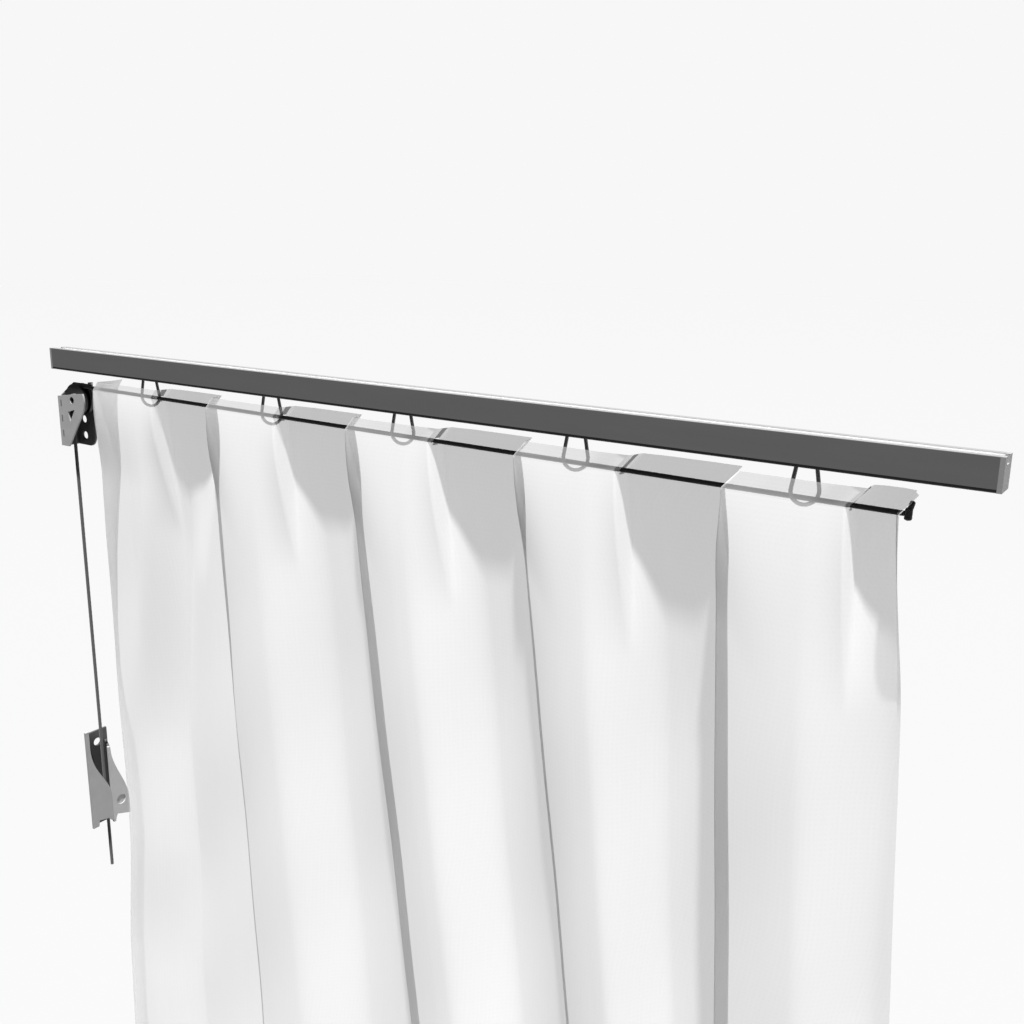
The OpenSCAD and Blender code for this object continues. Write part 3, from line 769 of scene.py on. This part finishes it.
def cloth_density(panel, share, depths):
    """How much each point hides: more in the strip, and less at the left edge low down."""
    thin = smooth((depths - EDGE_FROM) / EDGE_BY)
    edge = np.where(panel == 0, EDGE_DENSE + (DENSE - EDGE_DENSE) * smooth(share / EDGE_SHARE), DENSE)
    sheet = DENSE + (edge[None, :] - DENSE) * thin
    strip = RETURN_DENSE + (EDGE_DENSE - RETURN_DENSE) * thin[:, :1]
    return np.concatenate([np.repeat(strip, RETURN_COLUMNS, axis=1), sheet], axis=1)


def from_tuck(panel, share):
    """Each column's distance from its panel's tuck, in widths of the dark faces there."""
    distance = np.where(panel % 2 == 0, (1 - share) / TUCK_FRONT, share / TUCK_BACK)
    distance = np.where(panel > LAST_BACK, np.inf, distance)
    return np.concatenate([np.full(RETURN_COLUMNS, np.inf), distance])


def from_crease(panel, share):
    """Each column's distance from its panel's crease, as a share of the panel, and 1 where there is none."""
    distance = np.where(panel % 2 == 0, share, 1 - share)
    distance = np.where((panel > 0) & (panel < LAST_BACK), distance, 1)
    return np.concatenate([np.ones(RETURN_COLUMNS), distance])


def cloth_faces(points, row_depths, tuck_distance, crease_distance):
    """The cloth's faces, with buttonholes left open, and the kind of each; faces in a tuck or along a crease
    take painted shade.
    """
    rows, columns = points.shape[:2]
    faces, kinds = [], []
    for r in range(rows - 1):
        tuck = np.clip(1 - row_depths[r] / TUCK_DEEP, 0, 1)
        for c in range(columns - 1):
            x, y, z = points[r:r + 2, c:c + 2].reshape(-1, 3).mean(axis=0)
            if abs(y) < HOLE_HALF_DEEP and abs(z - cord_z(x)) < HOLE_HALF_HIGH:
                continue
            faces.append(quad(r, c, columns))
            tucked = max(tuck_distance[c], tuck_distance[c + 1]) <= tuck
            creased = row_depths[r] > 0 and max(crease_distance[c], crease_distance[c + 1]) <= SHARP
            kinds.append(TUCKED if tucked else CREASED if creased else PLAIN)
    return faces, kinds


def lay_weave(piece, flat):
    """Gives a piece its places on the flat cloth, in metres, for the weave to follow."""
    uv = piece.data.uv_layers.new(name="weave")
    loops = np.zeros(len(piece.data.loops), int)
    piece.data.loops.foreach_get("vertex_index", loops)
    uv.data.foreach_set("uv", flat[loops].ravel())


def stitch(start, reach, line, front):
    """The eight corners of one stitch: a low box before the cloth, from a start along the line."""
    out = on_line(start, reach, front)
    up = np.array([0, 0, STITCH_WIDE / 2])
    corners = []
    for at in (start, start + STITCH_LENGTH):
        for lift in STITCH_LIFT:
            middle = on_line(at, reach, line) + lift * STITCH_WIDE * out
            corners += [middle + up, middle - up]
    return corners


def add_hem(points, across):
    """The lower edge turned up behind the cloth, and its row of stitches."""
    height = points[:, :, 2] - points[-1:, :, 2]
    first = int(np.argmax(height.max(axis=1) < HEM)) - 1
    turned = points[first:].copy()
    behind = np.cross(np.gradient(turned, axis=1), np.gradient(turned, axis=0))
    behind *= np.sign(behind[:, :, 1:2]) / np.linalg.norm(behind, axis=2)[:, :, None]
    turned[:-1] += HEM_GAP * behind[:-1]
    rows, columns = turned.shape[:2]
    verts = list(turned.reshape(-1, 3))
    faces = [quad(r, c, columns) for r in range(rows - 1) for c in range(columns - 1)]
    kinds = [HEM_CLOTH] * len(faces)
    line = (1 - STITCH_DOWN) * points[first] + STITCH_DOWN * points[first + 1]
    reach = across[first]
    for start in np.arange(STITCH_STEP, reach[-1] - STITCH_STEP, STITCH_STEP):
        faces += [tuple(len(verts) + k for k in side) for side in BOX_SIDES]
        kinds += [HEM_THREAD] * len(BOX_SIDES)
        verts += stitch(start, reach, line, -behind[0])
    hem = mesh_piece("curtain_hem", verts, faces)
    hem.data.materials.append(sheer("sheer_cloth_hem", DENSE, CLOTH_GREY))
    hem.data.materials.append(plain("hem_thread", THREAD_GREY))
    hem.data.polygons.foreach_set("material_index", kinds)
    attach(hem, "track")
    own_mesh(hem)
    return hem


def add_curtain():
    x, panel, share = cloth_columns()
    heading, below = cloth_rows()
    depths = cloth_depths(x, heading, below)
    points = cloth_points(x, panel, share, depths)
    across = reach_along(points, axis=1)
    down = reach_along(points, axis=0)
    row_depths = np.concatenate([heading * HEADING, below])
    faces, kinds = cloth_faces(points, row_depths, from_tuck(panel, share), from_crease(panel, share))
    curtain = mesh_piece("curtain_cloth", points.reshape(-1, 3), faces)
    lay_weave(curtain, np.stack([across, down], axis=-1).reshape(-1, 2))
    density = curtain.data.attributes.new("weave_density", "FLOAT", "POINT")
    density.data.foreach_set("value", cloth_density(panel, share, depths).ravel())
    curtain.data.materials.append(sheer("sheer_cloth", DENSE, CLOTH_GREY, "weave_density"))
    # painted shade: tucked and creased faces take darker greys
    curtain.data.materials.append(sheer("sheer_cloth_tuck_shade", DARK_DENSE, TUCK_SHADE_GREY))
    curtain.data.materials.append(sheer("sheer_cloth_crease_shade", DARK_DENSE, CREASE_SHADE_GREY))
    curtain.data.polygons.foreach_set("material_index", kinds)
    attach(curtain, "track")
    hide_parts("curtain")
    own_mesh(curtain)
    hem = add_hem(points, across)


# Finishes of the CAD nodes
SMOOTH_ANGLE = math.radians(30)
BEVEL_ANGLE = math.radians(40)
BEVEL_SEGMENTS = 2
RUNNERS = 5


def finish_node(name, material, bevel=0.0):
    """Gives a CAD node its material, smooth shading and, where asked, rounded edges."""
    node = nodes[name]
    node.data.materials.clear()
    node.data.materials.append(material)
    node.data.polygons.foreach_set("use_smooth", [True] * len(node.data.polygons))
    node.data.set_sharp_from_angle(angle=SMOOTH_ANGLE)
    if bevel:
        edge = node.modifiers.new("rounded_edges", "BEVEL")
        edge.width = bevel
        edge.segments = BEVEL_SEGMENTS
        edge.limit_method = "ANGLE"
        edge.angle_limit = BEVEL_ANGLE
        edge.harden_normals = True


def finish_rail():
    # the rail's top face and top channel carry painted light
    rail = anodised("rail_anodised_and_painted_light", level=0.145, painted_top_light_level=0.31, painted_channel_light_level=0.85)
    finish_node("rail", rail, bevel=0.25 * MM)
    liner = moulded("liner_black", level=0.008, rough=0.45)
    for name in ("liner_front", "liner_back"):
        finish_node(name, liner, bevel=0.15 * MM)
    cap = moulded("cap_grey", level=0.3, rough=0.5)
    for name in ("cap_left", "cap_right"):
        finish_node(name, cap, bevel=0.4 * MM)


def finish_runners(bright):
    runner = moulded("runner_white", level=0.72, rough=0.4)
    wire = steel("loop_wire", level=0.2, rough=0.42)
    roller = moulded("roller_nylon", level=0.65, rough=0.35)
    for k in range(1, RUNNERS + 1):
        finish_node("runner_%d" % k, runner, bevel=0.3 * MM)
        finish_node("loop_%d" % k, wire)
        finish_node("axle_%d" % k, bright, bevel=0.2 * MM)
        finish_node("rollers_%d" % k, roller, bevel=0.3 * MM)


def finish_block(bright):
    finish_node("block_front", painted("plate_light", level=0.42), bevel=0.3 * MM)
    # painted shade: the back plate's dark grey stands in for the shade inside the block
    finish_node("block_back", painted("plate_dark", level=0.12), bevel=0.3 * MM)
    for name in ("block_washers", "block_eyelet"):
        finish_node(name, bright, bevel=0.25 * MM)
    finish_node("block_pin", steel("pin_blackened", level=0.04, rough=0.45), bevel=0.25 * MM)
    finish_node("sheave", moulded("sheave_black", level=0.015, rough=0.4), bevel=0.3 * MM)


def finish_cleat():
    # painted shade: the body's dark grey stands in for the shade inside the cleat's channel
    finish_node("cleat_body", painted("cleat_dark", level=0.07), bevel=0.4 * MM)
    finish_node("cleat_cheek", painted("cleat_grey", level=0.38), bevel=0.4 * MM)
    finish_node("cleat_wing", painted("cleat_wing_grey", level=0.47), bevel=0.5 * MM)
    finish_node("cleat_jaws", moulded("jaw_black", level=0.012, rough=0.5), bevel=0.3 * MM)


def finish_nodes():
    bright = steel("axle_steel", level=0.5, rough=0.3)
    finish_rail()
    finish_runners(bright)
    finish_block(bright)
    finish_cleat()


add_camera()
add_stage()
add_cords()
add_curtain()
finish_nodes()
